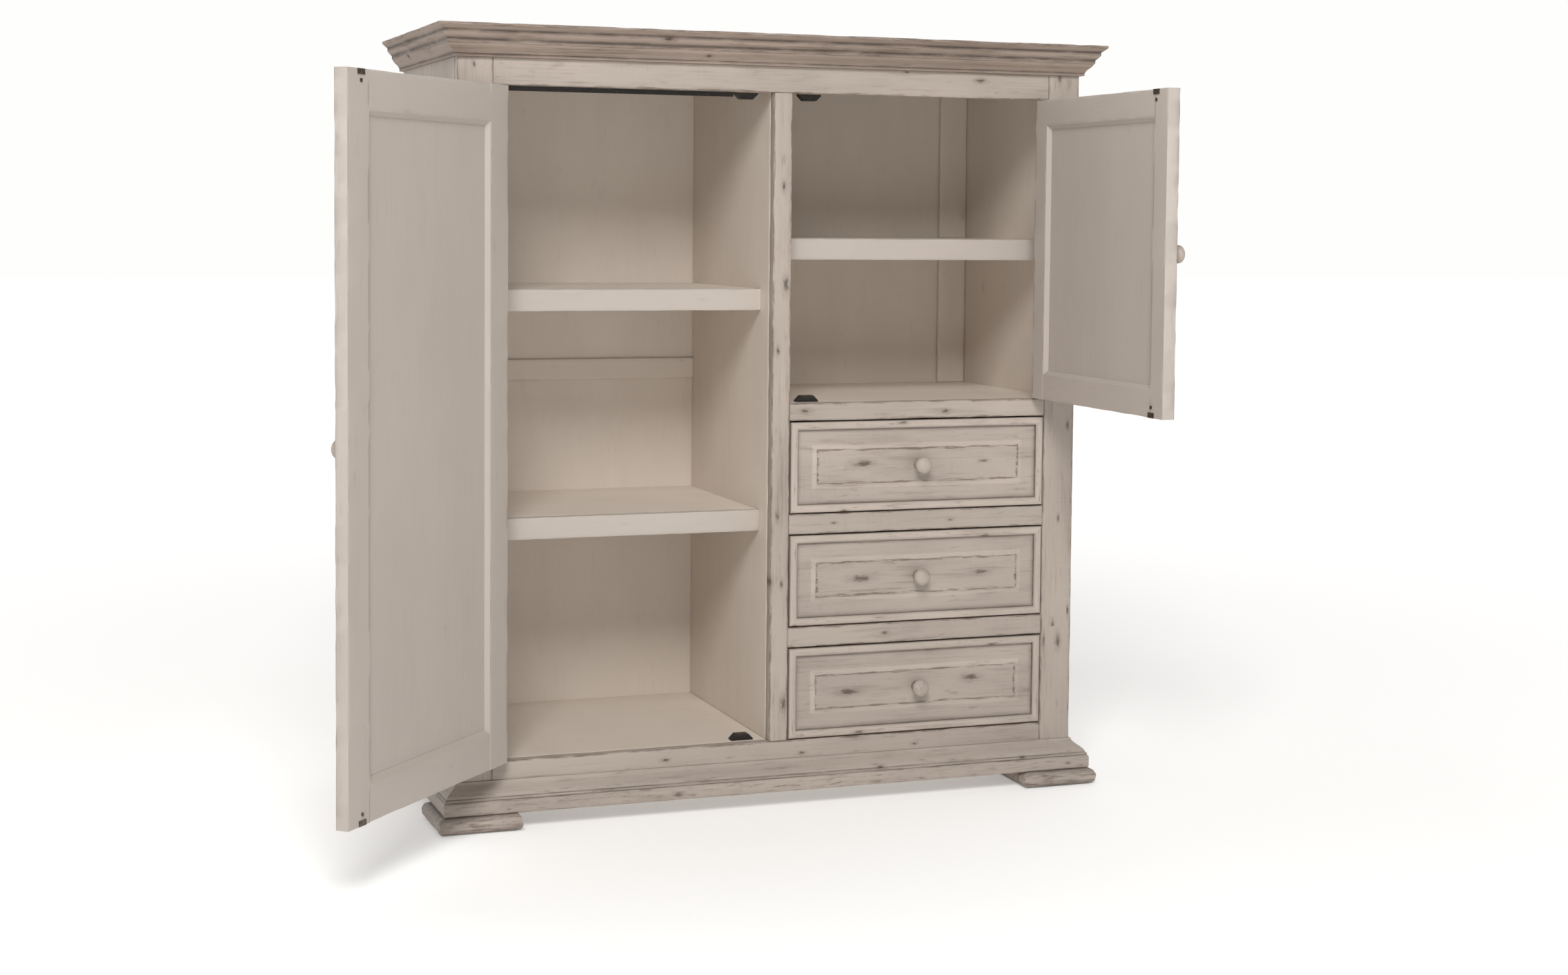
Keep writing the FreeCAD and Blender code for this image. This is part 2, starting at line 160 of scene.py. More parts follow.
def pine(name, wash, streak, bare, knot_and_shade_dark, streaks=0.5, rubbed=0.5, wax_shading_strength=0.8, tone=0.06,
         rough=0.6, relief=0.5, knots=1.0, sawn=0.3, coordinates="grain"):
    """Pine under a finish. wash is the finish's colour, streak the grain that shows through, bare
    the wood where an arris is rubbed, and the last colour the middle of a knot and also the dark
    wax and painted shade in the creases. The rest say how strongly each shows. The pattern lies
    along each board: a piece's own "grain" attribute holds metres along, across and through its
    board."""
    material, tree, surface = new_material(name)
    place = node(tree, "Attribute", {"attribute_name": "grain"}).outputs["Vector"]
    if coordinates == "object":
        place = node(tree, "TexCoord").outputs["Object"]
    knot = node(tree, "Attribute", {"attribute_name": "knot"}).outputs["Vector"]
    wear = node(tree, "Attribute", {"attribute_name": "wear"}).outputs["Fac"]
    wax_and_painted_shading = node(tree, "Attribute", {"attribute_name": "wax_and_painted_shading"}).outputs["Fac"]
    plus, minus, times = ({"operation": kind} for kind in ("ADD", "SUBTRACT", "MULTIPLY"))
    share = {"operation": "MULTIPLY", "use_clamp": True}
    scale, paint = {"operation": "SCALE"}, {"data_type": "RGBA"}
    smooth = {"interpolation_type": "SMOOTHSTEP"}

    # The grain parts round a knot: the lookup is pushed away from the knot's middle.
    spread = node(tree, "VectorMath", {"operation": "LENGTH"}, in0=knot).outputs["Value"]
    square = node(tree, "Math", {"operation": "MULTIPLY_ADD"}, in0=spread, in1=spread, in2=0.7)
    push = node(tree, "Math", {"operation": "DIVIDE"}, in0=0.006, in1=square)
    pushed = node(tree, "VectorMath", scale, in0=knot, Scale=push)
    bent = node(tree, "VectorMath", minus, in0=place, in1=pushed)

    # Each pattern's lumps, in metres along and across the board, its detail and roughness.
    lumps = {}
    for pattern, at, along, across, detail, coarse in (
            ("rings", bent, 0.16, 0.005, 4.0, 0.65), ("brush", bent, 0.05, 0.0016, 2.0, 0.5),
            ("patch", place, 0.17, 0.030, 3.0, 0.6), ("cloud", place, 0.35, 0.12, 2.0, 0.6),
            ("saw", place, 0.004, 0.11, 3.0, 0.6), ("sawn", place, 0.30, 0.10, 2.0, 0.5),
            ("stain", place, 0.06, 0.014, 4.0, 0.65), ("split", place, 0.012, 0.0016, 5.0, 0.7),
            ("bite", place, 0.045, 0.006, 4.0, 0.7), ("wax_shading", place, 0.06, 0.02, 3.0, 0.6)):
        turned = node(tree, "Mapping", Vector=at, Scale=(1 / along, 1 / across, 1 / across))
        lumps[pattern] = node(tree, "TexNoise", Vector=turned, Scale=1.0, Detail=detail,
                              Roughness=coarse)

    # Growth rings 5 mm apart that come and go, brush lines 1.6 mm apart, washed-out patches
    # 170 mm long, and saw marks across the grain where the wash has caught in them.
    rings = node(tree, "MapRange", smooth, Value=lumps["rings"], From_Min=0.48, From_Max=0.72)
    fade = node(tree, "MapRange", smooth, Value=lumps["patch"], From_Min=0.38, From_Max=0.66,
                To_Min=0.15, To_Max=1.0)
    rings = node(tree, "Math", times, in0=rings, in1=fade)
    brush = node(tree, "MapRange", smooth, Value=lumps["brush"], From_Min=0.52, From_Max=0.80,
                 To_Max=0.30)
    patch = node(tree, "MapRange", smooth, Value=lumps["patch"], From_Min=0.50, From_Max=0.74,
                 To_Max=0.45)
    saw = node(tree, "MapRange", smooth, Value=lumps["saw"], From_Min=0.52, From_Max=0.74,
               To_Max=sawn)
    zone = node(tree, "MapRange", smooth, Value=lumps["sawn"], From_Min=0.48, From_Max=0.66)
    saw = node(tree, "Math", times, in0=saw, in1=zone)
    line = node(tree, "Math", plus, in0=rings, in1=brush)
    line = node(tree, "Math", plus, in0=line, in1=patch)
    line = node(tree, "Math", plus, in0=line, in1=saw)
    line = node(tree, "Math", share, in0=line, in1=streaks)
    colour = node(tree, "Mix", paint, in0=line, in6=linear(wash), in7=linear(streak)).outputs[2]

    # Brown stains where resin has come through, and knots: a dark core, split along the
    # grain, in a brown halo.
    stain = node(tree, "MapRange", smooth, Value=lumps["stain"], From_Min=0.58, From_Max=0.74,
                 To_Max=0.45 * rubbed)
    colour = node(tree, "Mix", paint, in0=stain, in6=colour, in7=linear(bare)).outputs[2]
    torn = node(tree, "Math", {"operation": "MULTIPLY_ADD"}, in0=lumps["split"], in1=2.8,
                in2=spread)
    halo = node(tree, "MapRange", smooth, Value=torn, From_Min=3.2, From_Max=1.7,
                To_Max=0.40 * knots)
    core = node(tree, "MapRange", smooth, Value=torn, From_Min=2.1, From_Max=1.6,
                To_Max=0.85 * knots)
    colour = node(tree, "Mix", paint, in0=halo, in6=colour, in7=linear(bare)).outputs[2]
    colour = node(tree, "Mix", paint, in0=core, in6=colour, in7=linear(knot_and_shade_dark)).outputs[2]

    # Arrises rubbed through to brown wood, unevenly, and darkening in the corners and creases:
    # dark wax, and painted shade. Where the shading value is below nothing there is no darkening,
    # and the colour is lifted paler instead: a painted highlight on crests and bevels.
    bite = node(tree, "Math", {"operation": "MULTIPLY_ADD"}, in0=lumps["bite"], in1=1.6, in2=wear)
    rub = node(tree, "MapRange", smooth, Value=bite, From_Min=1.62, From_Max=1.98, To_Max=rubbed)
    colour = node(tree, "Mix", paint, in0=rub, in6=colour, in7=linear(bare)).outputs[2]
    left = node(tree, "MapRange", smooth, Value=lumps["wax_shading"], From_Min=0.25, From_Max=0.6,
                To_Min=0.35 * wax_shading_strength, To_Max=0.95 * wax_shading_strength)
    left = node(tree, "Math", times, in0=left, in1=wax_and_painted_shading)
    colour = node(tree, "Mix", paint, in0=left, in6=colour, in7=linear(knot_and_shade_dark)).outputs[2]
    shade = node(tree, "MapRange", smooth, Value=lumps["cloud"], From_Min=0.25, From_Max=0.75,
                 To_Min=1.0 - tone, To_Max=1.0 + tone)
    # The painted highlight: below nothing the colour is made up to a fifth paler.
    painted_highlight = node(tree, "MapRange", Value=wax_and_painted_shading, From_Min=0.0, From_Max=-1.0, To_Max=0.20)
    shade = node(tree, "Math", plus, in0=shade, in1=painted_highlight)
    toned = node(tree, "VectorMath", scale, in0=colour, Scale=shade)
    tree.links.new(toned.outputs[0], surface.inputs["Base Color"])

    # The rings, the brush lines, the knots and the rubbed arrises lie a little low.
    sunk = node(tree, "Math", {"operation": "MULTIPLY_ADD"}, in0=lumps["brush"], in1=0.7,
                in2=lumps["rings"])
    sunk = node(tree, "Math", plus, in0=sunk, in1=core)
    sunk = node(tree, "Math", plus, in0=sunk, in1=rub)
    bump = node(tree, "Bump", {"invert": True}, Height=sunk, Strength=relief, Distance=0.0006)
    tree.links.new(bump.outputs[0], surface.inputs["Normal"])
    dull = node(tree, "MapRange", Value=lumps["rings"], From_Min=0.3, From_Max=0.8,
                To_Min=rough - 0.08, To_Max=rough + 0.1)
    tree.links.new(dull.outputs[0], surface.inputs["Roughness"])
    return material


# Knotty pine, sanded, washed white so that the grain greys through it, then rubbed on
# every arris. It looks dry and chalky, with dark knots and broken brown edges.
whitewashed_pine = pine("whitewashed_pine", "#a89c92", "#80746a", "#67564a", "#392e26",
                        streaks=0.55, rubbed=0.8, wax_shading_strength=0.8, tone=0.08, knots=0.85)


def ring_faces(rings, count):
    """The quads between rings of count points each. A ring's last point joins its first."""
    around = np.arange(count)
    first = np.arange(rings - 1)[:, None] * count + around
    second = np.arange(rings - 1)[:, None] * count + (around + 1) % count
    return np.stack([first, second, second + count, first + count], -1).reshape(-1, 4)


def worn_line(count):
    """How deep an arris is worn at each of count places, 0 to 1: random heights, averaged
    with their neighbours, of which only what stands above keep stays."""
    keep = 0.45
    heights = np.convolve(random.random(count + 4), [0.25, 0.5, 0.25], "same")[2:-2]
    return np.clip((heights - keep) / (1 - keep) * 1.8, 0, 1)


def board(low, high, lay, ease=0.002):
    """A sawn board between two corners, with eased arrises. lay names the axes along,
    across and through it. A point is a place on the board shrunk by the easing radius,
    plus that radius along the outward direction, which turns a quarter round each long
    arris and tips over at each end."""
    worn, end_wear = 0.0006, 0.3            # the deepest dent in an arris, the rub at the ends
    step, strip = 0.014, 0.008              # the rows' spacing, and how wide a rub fades out
    low, high = np.array(low, float), np.array(high, float)
    order = [(AXES[lay[0]] + n) % 3 for n in range(3)]
    middle, half = ((low + high) / 2)[order], ((high - low) / 2)[order]
    ease = min(ease, 0.35 * half.min())
    core = half - ease
    angles, places = [], []
    for corner in range(4):
        turn = math.pi / 2 * corner
        place = core[1:] * ((1, 1), (-1, 1), (-1, -1), (1, -1))[corner]
        before = np.array([math.sin(turn), -math.cos(turn)])
        after = np.array([-math.cos(turn), -math.sin(turn)])
        reach = [min(strip, 0.8 * abs(side @ core[1:])) for side in (before, after)]
        angles += [turn, turn, turn + math.pi / 4, turn + math.pi / 2, turn + math.pi / 2]
        places += [place + before * reach[0], place, place, place, place + after * reach[1]]
    outward = np.stack([np.cos(angles), np.sin(angles)], -1)
    edge = np.tile([0.0, 1, 1, 1, 0], 4)

    tips = np.radians([78, 45, 15])
    inner = np.linspace(-core[0], core[0], max(2, int(2 * core[0] / step)))
    flank = min(strip, 0.8 * core[0])
    inner = np.unique(np.concatenate([inner, [flank - core[0], core[0] - flank]]).round(6))
    along = np.concatenate([-core[0] - ease * np.sin(tips), inner,
                            core[0] + ease * np.sin(tips[::-1])])
    size = np.concatenate([np.cos(tips), np.ones(len(inner)), np.cos(tips[::-1])])
    end = np.concatenate([np.ones(4), np.zeros(len(inner) - 2), np.ones(4)]) * end_wear
    wear = np.maximum(edge, end[:, None])
    dents = np.repeat(np.stack([worn_line(len(along)) for _ in range(4)], -1), 5, 1) * edge * worn

    points = np.zeros((len(along), len(edge), 3))
    points[..., 0] = along[:, None]
    points[..., 1:] = np.array(places) + outward * (ease * size[:, None] - dents)[..., None]
    back = np.argsort(order)
    points = (points + middle).reshape(-1, 3)[:, back]
    last = len(points) - len(edge)
    caps = [list(range(len(edge)))[::-1], list(range(last, len(points)))]
    return {"points": points, "quads": ring_faces(len(along), len(edge)), "caps": caps,
            "wear": wear.ravel(), "wax_and_painted_shading": np.zeros(wear.size)}


def stepped_block(across, up, steps, plane="xz", step=0.012, worn=0.0012):
    """A block made of rectangles behind one another. Each of steps gives how far in its rectangle
    is from the outer one, its depth, its wear, and its shading: above nothing dark wax and painted
    shade, below nothing a painted highlight. plane names the axes that the rectangles span. The
    last one is filled with a grid, the first with one face."""
    columns = max(2, int((across[1] - across[0]) / step))
    rows = max(2, int((up[1] - up[0]) / step))
    ring_u = np.concatenate([np.arange(columns), np.full(rows, columns), np.arange(columns, 0, -1),
                             np.zeros(rows)]) / columns
    ring_v = np.concatenate([np.zeros(columns), np.arange(rows), np.full(columns, rows),
                             np.arange(rows, 0, -1)]) / rows
    out_u, out_v = (ring_u == 1) * 1.0 - (ring_u == 0), (ring_v == 1) * 1.0 - (ring_v == 0)
    points, wear, wax_and_painted_shading = [], [], []
    for inset, depth, rub, wax_shading in steps:
        dent = worn_line(len(ring_u)) * worn * (rub > 0)
        grid_u = across[0] + inset + (across[1] - across[0] - 2 * inset) * ring_u - out_u * dent
        grid_v = up[0] + inset + (up[1] - up[0] - 2 * inset) * ring_v - out_v * dent
        points.append(np.stack([grid_u, grid_v, np.full(len(ring_u), depth)], -1))
        wear.append(np.full(len(ring_u), rub))
        wax_and_painted_shading.append(np.full(len(ring_u), wax_shading))
    count = len(ring_u)
    quads = [ring_faces(len(steps), count)]

    # The grid over the last rectangle: its border is the last ring, its inside is new.
    index = np.zeros((columns + 1, rows + 1), int)
    index[:, 0] = np.arange(columns + 1)
    index[columns, :] = columns + np.arange(rows + 1)
    index[:, rows] = columns + rows + np.arange(columns + 1)[::-1]
    index[0, :] = (2 * columns + rows + np.arange(rows + 1)[::-1]) % count
    index += (len(steps) - 1) * count
    index[1:-1, 1:-1] = len(steps) * count + np.arange((columns - 1) * (rows - 1)).reshape(
        columns - 1, rows - 1)
    inset, depth = steps[-1][:2]
    fill_u = np.linspace(across[0] + inset, across[1] - inset, columns + 1)[1:-1, None]
    fill_v = np.linspace(up[0] + inset, up[1] - inset, rows + 1)[None, 1:-1]
    fill = np.stack(np.broadcast_arrays(fill_u, fill_v, depth), -1).reshape(-1, 3)
    quads.append(np.stack([index[:-1, :-1], index[1:, :-1], index[1:, 1:], index[:-1, 1:]],
                          -1).reshape(-1, 4))
    points = np.concatenate(points + [fill])
    third = ({0, 1, 2} - {AXES[plane[0]], AXES[plane[1]]}).pop()
    placed = np.zeros_like(points)
    placed[:, [AXES[plane[0]], AXES[plane[1]], third]] = points
    return {"points": placed, "quads": np.concatenate(quads), "caps": [list(range(count))[::-1]],
            "wear": np.concatenate(wear + [np.zeros(len(fill))]),
            "wax_and_painted_shading": np.concatenate(wax_and_painted_shading + [np.zeros(len(fill))])}


def volume(shell):
    """Six times the volume inside a shell, from the triangles that fan over each face."""
    points, quads = shell["points"], shell["quads"]
    total = 0.0
    fans = [quads[:, [0, 1, 2]], quads[:, [0, 2, 3]]]
    fans += [np.array([[cap[0], cap[n], cap[n + 1]] for n in range(1, len(cap) - 1)])
             for cap in shell["caps"]]
    for fan in fans:
        a, b, c = (points[fan[:, n]] for n in range(3))
        total += np.einsum("ij,ij->", a, np.cross(b, c))
    return total


def board_knots(low, high, knots, knot_size, spacing):
    """The centres and sizes of one board's knots: the given ones that lie on it, and about
    one to each spacing of its length at random places, each 0.55 to 1.45 knot sizes."""
    given = [np.array(knot) for knot in knots
             if all(low[n] < knot[n] < high[n] for n in range(2))]
    strewn = [] if spacing is None else [
        low[:2] + random.random(2) * (high - low)[:2]
        for _ in range(int((high - low)[0] / spacing + random.random()))]
    centres = given + strewn
    return centres, [np.array(knot_size) * (0.55 + 0.9 * random.random()) for _ in centres]


def knot_offsets(flat, first, sides, centres, sizes):
    """Each face corner's distance from the knot nearest to its face's middle, along and
    across, counted in knot sizes. flat holds the corners' places, first each face's first
    corner, and sides how many it has."""
    no_knot = 6.0                           # further than any halo reaches
    offset = np.full((len(flat), 3), no_knot)
    if centres:
        centres, sizes = np.array(centres), np.array(sizes)
        middle = np.add.reduceat(flat, first, 0) / sides[:, None]
        gap = (middle[:, None, :] - centres) / sizes
        nearest = np.repeat(np.linalg.norm(gap, axis=2).argmin(1), sides)
        offset[:, :2] = (flat - centres[nearest]) / sizes[nearest]
        offset[:, 2] = 0
    return offset


def make_piece(name, shells, lay, materials, body, nodes, slot, knots=(),
               knot_size=(0.011, 0.0045), spacing=0.8, turn=None, inside=None):
    """Joins closed shells into one piece. Stores on each point how far along, across and through
    its board it is, its wear and its shading, which is dark wax and painted shade above nothing
    and a painted highlight below it, and on each face's corners how far the nearest knot is,
    counted in knot sizes. knots are places along and across, in metres; more are strewn, one to
    each spacing. turn is a place and an angle to swing about. inside is an axis, a place on it and
    a direction: faces past it, as built, take the second material."""
    order = [AXES[letter] for letter in lay]
    points, faces, grain, wear, wax_and_painted_shading, centres, sizes = [], [], [], [], [], [], []
    start = 0
    for number, shell in enumerate(shells):
        flip = volume(shell) < 0
        for face in shell["quads"].tolist() + shell["caps"]:
            faces.append([start + n for n in (face[::-1] if flip else face)])
        own = shell["points"][:, order]
        # Each board is cut from its own place in the tree, so no two have the same grain.
        shift = np.array([10.0 * (number + 1), 3.7 * number, 0]) + random.random(3)
        points.append(shell["points"])
        grain.append(own + shift)
        wear.append(shell["wear"])
        wax_and_painted_shading.append(shell["wax_and_painted_shading"])
        start += len(own)
        own_centres, own_sizes = board_knots(own.min(0), own.max(0), knots, knot_size, spacing)
        centres += [centre + shift[:2] for centre in own_centres]
        sizes += own_sizes
    points, grain = np.concatenate(points), np.concatenate(grain)

    mesh = bpy.data.meshes.new(name)
    built = points.copy()
    if turn:
        pivot, angle = turn
        cos, sin = math.cos(angle), math.sin(angle)
        x, y = points[:, 0] - pivot[0], points[:, 1] - pivot[1]
        points = np.stack([pivot[0] + cos * x - sin * y, pivot[1] + sin * x + cos * y,
                           points[:, 2]], -1)
    mesh.from_pydata(points.tolist(), [], faces)
    for attribute, values in (("wear", wear), ("wax_and_painted_shading", wax_and_painted_shading)):
        mesh.attributes.new(attribute, "FLOAT", "POINT").data.foreach_set(
            "value", np.concatenate(values).astype(np.float32))
    mesh.attributes.new("grain", "FLOAT_VECTOR", "POINT").data.foreach_set(
        "vector", grain.astype(np.float32).ravel())

    sides = np.array([len(face) for face in faces])
    corner = np.concatenate([np.array(face) for face in faces])
    first = np.concatenate([[0], np.cumsum(sides)[:-1]])
    offset = knot_offsets(grain[corner, :2], first, sides, centres, sizes)
    mesh.attributes.new("knot", "FLOAT_VECTOR", "CORNER").data.foreach_set(
        "vector", offset.astype(np.float32).ravel())

    for material in materials:
        mesh.materials.append(material)
    if inside:
        axis, plane, way = inside
        deep = np.add.reduceat(built[corner, AXES[axis]], first) / sides
        past = (deep - plane) * way > 0
        mesh.polygons.foreach_set("material_index", past.astype(np.int32))
    mesh.polygons.foreach_set("use_smooth", np.ones(len(faces), bool))
    crisp = math.radians(42)                # a sharper turn than this shows as an arris
    mesh.set_sharp_from_angle(angle=crisp)
    mesh.update()
    piece = bpy.data.objects.new(name, mesh)
    bpy.context.scene.collection.objects.link(piece)
    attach(piece, body)
    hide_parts(*nodes)


foot_low, foot_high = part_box("feet")
foot_side, foot_round = 0.165, 0.0135

# A foot's rounded edge, bottom then top: how far round each step is, its wear, and its dark wax
# and painted shade, which darken the lower edge and the top edge under the plinth.
foot_steps = []
for middle, turns in (
        (foot_round, ((-80, 0.3, 1.0), (-50, 0.9, 0.8), (-20, 0.9, 0.3), (0, 0.9, 0))),
        (foot_high.z - foot_round, ((0, 0.9, 0), (20, 0.9, 0), (50, 0.9, 0.3), (80, 0.3, 0.8)))):
    for degrees, rub, wax_shading in turns:
        angle = math.radians(degrees)
        foot_steps.append((foot_round * (1 - math.cos(angle)),
                           middle + foot_round * math.sin(angle), rub, wax_shading))
feet = []
for foot_x in ((foot_low.x, foot_low.x + foot_side), (foot_high.x - foot_side, foot_high.x)):
    for foot_y in ((foot_low.y, foot_low.y + foot_side), (foot_high.y - foot_side, foot_high.y)):
        feet.append(stepped_block(foot_x, foot_y, foot_steps, "xy"))
make_piece("foot_pads", feet, "xyz", [whitewashed_pine], "cabinet", ["feet"], "whitewashed_pine")


# ==== plinth and base moulding ========================
# A rounded pine plinth with an S-shaped moulding on top, run round the front and the
# sides in three lengths that are mitred at the front corners and pinned to the carcass.
def moulding(first, last, wear, wax_and_painted_shading, worn=0.001):
    """A length of moulding. Each point of its outline runs straight from its place at the
    first end to its place at the last. Worn points are cut back along the outward
    direction, which is square to the outline and to the run."""
    first, last, wear, wax_and_painted_shading = (np.array(values, float) for values in (first, last, wear, wax_and_painted_shading))
    step = 0.013
    run = (last - first).mean(0)
    length = np.linalg.norm(run)
    area = np.cross(first, np.roll(first, -1, 0)).sum(0)
    if area @ run < 0:
        first, last, wear, wax_and_painted_shading = first[::-1], last[::-1], wear[::-1], wax_and_painted_shading[::-1]
    outward = np.cross(np.roll(first, -1, 0) - np.roll(first, 1, 0), run / length)
    outward /= np.maximum(np.linalg.norm(outward, axis=1, keepdims=True), 1e-9)
    rows, columns = max(3, int(length / step)), len(wear)
    t = np.linspace(0, 1, rows)[:, None, None]
    dents = np.stack([worn_line(rows) for _ in range(columns)], -1) * wear * worn
    dents[[0, -1]] = 0
    points = (first + (last - first) * t - outward * dents[..., None]).reshape(-1, 3)
    caps = [list(range(columns))[::-1], list(range(len(points) - columns, len(points)))]
    return {"points": points, "quads": ring_faces(rows, columns), "caps": caps,
            "wear": np.tile(wear, rows), "wax_and_painted_shading": np.tile(wax_and_painted_shading, rows)}


body_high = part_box("side_panel_right")[1]
face_y, back_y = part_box("stile_left")[0].y, body_high.y


def around_body(outline):
    """Front, left and right lengths of a moulding with mitred front corners. An outline point is
    how far it stands out from the body, its height, its wear, and its dark wax and painted shade."""
    out, height, wear, wax_and_painted_shading = np.array(outline, float).T
    corners = [np.stack([side * (body_high.x + out), y, height], -1)
               for side, y in ((-1, face_y - out), (1, face_y - out),
                               (-1, np.full(len(out), back_y)), (1, np.full(len(out), back_y)))]
    return [moulding(corners[a], corners[b], wear, wax_and_painted_shading) for a, b in ((0, 1), (0, 2), (1, 3))]


def base_lengths(name, outline, node_name):
    """Three pieces of one base moulding. The front one stands for the whole CAD node."""
    for side, length, lay in zip(("front", "left", "right"), around_body(outline),
                                 ("xzy", "yzx", "yzx")):
        nodes = [node_name] if side == "front" else []
        make_piece(name + "_" + side, [length], lay, [whitewashed_pine], "cabinet", nodes,
                   "whitewashed_pine")


plinth_low, plinth_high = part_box("base_plinth")
plinth_out, plinth_ease = face_y - plinth_low.y, 0.005
plinth_line = [(0, plinth_high.z, 0, 0), (0, plinth_low.z, 0, 0)]
for level, angles in ((plinth_low.z + plinth_ease, (-90, -60, -30, 0)),
                      (plinth_high.z - plinth_ease, (0, 30, 60, 90))):
    plinth_line += [(plinth_out - plinth_ease + plinth_ease * math.cos(math.radians(a)),
                     level + plinth_ease * math.sin(math.radians(a)), 0.8, 0) for a in angles]
# Dark wax and painted shade on the plinth's top, in the corner under the ogee.
plinth_line.append((plinth_out - 0.012, plinth_high.z, 0, 1))
base_lengths("plinth", plinth_line, "base_plinth")

# The S: half a cosine wave, from near the square edge below to the body's face above.
ogee_low, ogee_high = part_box("base_ogee")
ogee_out, ogee_rise, square = face_y - ogee_low.y, ogee_high.z - ogee_low.z, 0.004
# Dark wax and painted shade where the S meets the body, on its lower outer corner and at the foot
# of the S.
ogee_line = [(0, ogee_high.z, 0, 0.6), (0, ogee_low.z, 0, 0), (ogee_out, ogee_low.z, 0.5, 0.8),
             (ogee_out, ogee_low.z + square - 0.001, 0.9, 0),
             (ogee_out - 0.001, ogee_low.z + square, 0.9, 0)]
for n in range(13):
    t = n / 12
    ogee_line.append((ogee_out - 0.003 - (ogee_out - 0.006) * (1 - math.cos(math.pi * t)) / 2,
                      ogee_low.z + square + 0.001 + (ogee_rise - square - 0.002) * t,
                      0.75 if n in (2, 3, 4) else 0, 1.0 if n == 0 else 0))
base_lengths("ogee", ogee_line, "base_ogee")


# ==== carcass =========================================
# Solid pine boards 20 mm thick, glued and screwed, with a thin back let in between the
# sides. The inside is painted an even warm grey-white, so the grain hardly shows there.

# Water-based satin paint, brushed over sanded pine: soft, almost plain, with faint
# brush lines along each board and a slight clouding.
paint_colours = ("#d9cec2", "#c6bbae", "#a6998c", "#8a7b6d")
satin = dict(streaks=0.12, rubbed=0.25, wax_shading_strength=0.3, tone=0.025, rough=0.5, relief=0.1, knots=0.2,
             sawn=0.1)
painted_pine = pine("painted_pine", *paint_colours, **satin)

# The same paint, drawn darker and a shade greyer than the copy inside the cupboards, on the doors'
# inner faces, the shelves' front edges and the outside of the back. On the doors and the shelf
# edges, which face the lamps, the darkening is painted shade.
painted_pine_shaded_copy = pine("painted_pine_shaded_copy", "#b6aca3", "#a4998f", "#8f8479", "#7f7266", **satin)


def plain_board(node_name, lay, materials, slot, body="cabinet", ease=0.002, **look):
    """One board in the place of the CAD node of that name."""
    shell = board(*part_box(node_name), lay, ease)
    make_piece(node_name + "_pine", [shell], lay, materials, body, [node_name], slot, **look)


for node_name, lay in (("bottom_board", "xyz"), ("partition", "zyx"), ("cupboard_floor", "xyz"),
                       ("back_batten_level", "xzy")):
    plain_board(node_name, lay, [painted_pine], "painted_pine")
back_low, back_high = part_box("back_board")
plain_board("back_board", "zxy", [painted_pine, painted_pine_shaded_copy], "painted_pine",
            inside=("y", (back_low.y + back_high.y) / 2, 1))

# The upright batten stops at the right shelf and goes on above it.
upright_low, upright_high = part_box("back_batten_upright")
shelf_right_low, shelf_right_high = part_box("shelf_right")
uprights = []
for low_z, high_z in ((upright_low.z, shelf_right_low.z), (shelf_right_high.z, upright_high.z)):
    uprights.append(board((upright_low.x, upright_low.y, low_z),
                          (upright_high.x, upright_high.y, high_z), "zxy"))
make_piece("back_uprights", uprights, "zxy", [painted_pine], "cabinet",
           ["back_batten_upright"], "painted_pine")

skin = 0.003                                # how far the paint goes round the inner arrises
for node_name, plane, way in (("side_panel_left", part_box("side_panel_left")[1].x - skin, 1),
                              ("side_panel_right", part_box("side_panel_right")[0].x + skin, -1)):
    plain_board(node_name, "zyx", [whitewashed_pine, painted_pine], "whitewashed_pine",
                knot_size=(0.016, 0.009), inside=("x", plane, way))
plain_board("top_board", "xyz", [whitewashed_pine], "whitewashed_pine", knot_size=(0.016, 0.009))


# ==== face frame ======================================
# Stiles and rails of 22 mm pine, dowelled together and glued to the carcass's front.
# Their knots are the strongest on the piece, and most sit near an edge.
frame_knots = {                             # metres along and across each member
    "stile_left": [(1.468, -0.622), (1.20, -0.60), (0.42, -0.64)],
    "stile_right": [(0.756, 0.640), (0.560, 0.622), (0.362, 0.646), (0.335, 0.612), (0.30, 0.625),
                    (1.02, 0.60), (1.475, 0.610)],
    "stile_centre": [(1.245, 0.004), (0.918, -0.006), (0.585, -0.004), (0.448, 0.006),
                     (0.205, 0.012), (1.05, 0.01)],
    "top_rail": [(-0.262, 1.487), (0.265, 1.478), (0.43, 1.466), (-0.05, 1.50)],
    "bottom_rail": [(-0.235, 0.108), (0.30, 0.104), (0.052, 0.102)],
    "cupboard_rail": [(0.055, 0.796), (0.36, 0.79)],
}
for node_name, places in frame_knots.items():
    lay = "zxy" if node_name.startswith("stile") else "xzy"
    plain_board(node_name, lay, [whitewashed_pine], "whitewashed_pine", knots=places,
                knot_size=(0.015, 0.0058), spacing=2.0)

rails_low, rails_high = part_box("drawer_rails")
rail_high = 0.041
rails = [board((rails_low.x, rails_low.y, low_z),
               (rails_high.x, rails_high.y, low_z + rail_high), "xzy")
         for low_z in (rails_low.z, rails_high.z - rail_high)]
make_piece("drawer_rail_pair", rails, "xzy", [whitewashed_pine], "cabinet", ["drawer_rails"],
           "whitewashed_pine", knots=[(0.118, 0.568), (0.375, 0.566), (0.232, 0.338)], spacing=2.0)


